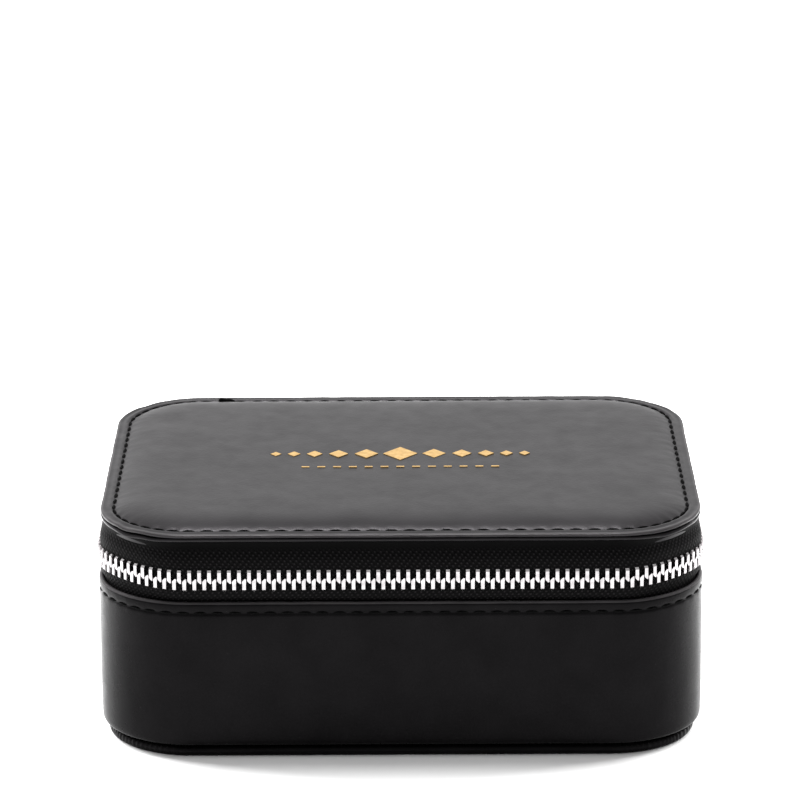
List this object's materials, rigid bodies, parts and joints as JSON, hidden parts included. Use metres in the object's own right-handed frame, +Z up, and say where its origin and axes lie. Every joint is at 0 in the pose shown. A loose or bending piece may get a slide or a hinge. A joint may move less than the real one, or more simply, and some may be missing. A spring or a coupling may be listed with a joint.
{
  "type": "leather jewellery case",
  "caption": "Small zip-round jewellery case: a padded, stitched leather lid on a leather box base, metal zip, rear leather hinge, suede interior with ring rolls.",
  "frame": {"origin": "centre of the underside, on the surface that the case stands on", "axes": "+Z up, +X to the right as seen from the front, +Y to the back, where the hinge and the slider are"},
  "size_m": [0.121, 0.0949, 0.0479],
  "materials": {
    "leather": "smooth black, semi-gloss, fine grain",
    "suede": "matt short nap",
    "board": "grey-brown bookbinder's board",
    "foam": "soft sheet wadding",
    "elastic": "gathered suede over elastic",
    "thread": "waxed black thread",
    "tape": "woven black zip tape",
    "foil": "gold foil stamped into the leather",
    "zip_metal": "polished nickel",
    "snap_metal": "polished nickel"
  },
  "bodies": {
    "base": {"base_cover": "leather", "base_board": "board", "base_filler": "board", "floor_board": "board", "wall_leather": "leather", "wall_thread": "thread", "wall_padding": "foam", "wall_board": "board", "inner_collar": "board", "base_lining": "suede", "pad_front": "suede", "pad_back_left": "suede", "pad_back_right": "suede", "pad_rings": "suede", "ring_roll_1": "suede", "ring_roll_2": "suede", "ring_roll_3": "suede", "ring_roll_4": "suede", "ring_roll_5": "suede", "ring_roll_6": "suede", "divider_rings": "suede", "divider_long": "suede", "divider_cross": "suede", "zip_tape_lower": "tape", "zip_teeth_lower": "zip_metal", "zip_teeth_end_lower": "zip_metal", "zip_top_stop_lower": "zip_metal", "zip_bottom_stop": "zip_metal", "hinge_strip": "leather"},
    "lid": {"lid_leather": "leather", "lid_thread": "thread", "lid_ornament": "foil", "lid_foam": "foam", "lid_underlay": "leather", "lid_board": "board", "lid_rim": "board", "lid_lining": "suede", "lid_pocket": "suede", "lid_pocket_elastic": "elastic", "hook_strip": "leather", "snap_sockets": "snap_metal", "zip_tape_upper": "tape", "zip_tape_end_upper": "tape", "zip_teeth_upper": "zip_metal", "zip_teeth_end_upper": "zip_metal", "zip_top_stop_upper": "zip_metal"},
    "slider": {"zip_slider": "zip_metal", "zip_slider_bail": "zip_metal"},
    "puller": {"zip_puller": "zip_metal"},
    "necklace_tab_1": {"necklace_tab_1": "leather", "snap_cap_1": "snap_metal"},
    "necklace_tab_2": {"necklace_tab_2": "leather", "snap_cap_2": "snap_metal"},
    "necklace_tab_3": {"necklace_tab_3": "leather", "snap_cap_3": "snap_metal"}
  },
  "joints": [
    {"name": "lid_hinge", "type": "hinge", "parent": "base", "child": "lid", "pos_m": [0, 0.0456, 0.0373], "axis": [-1, 0, 0], "range_deg": [0, 100], "deforming": ["hinge_strip", "zip_tape_end_upper", "zip_teeth_end_upper"]},
    {"name": "zip_slide", "type": "slide", "parent": "base", "child": "slider", "axis": [1, 0, 0], "range_m": [0, 0.0115], "deforming": ["zip_teeth_end_lower"]},
    {"name": "puller_swing", "type": "hinge", "parent": "slider", "child": "puller", "pos_m": [0.0255, 0.04815, 0.0373], "axis": [1, 0, 0], "range_deg": [0, 60]},
    {"name": "necklace_tab_1_fold", "type": "hinge", "parent": "lid", "child": "necklace_tab_1", "pos_m": [-0.024, -0.033, 0.0407], "axis": [-1, 0, 0], "range_deg": [0, 90]},
    {"name": "necklace_tab_2_fold", "type": "hinge", "parent": "lid", "child": "necklace_tab_2", "pos_m": [0, -0.033, 0.0407], "axis": [-1, 0, 0], "range_deg": [0, 90]},
    {"name": "necklace_tab_3_fold", "type": "hinge", "parent": "lid", "child": "necklace_tab_3", "pos_m": [0.024, -0.033, 0.0407], "axis": [-1, 0, 0], "range_deg": [0, 90]}
  ]
}
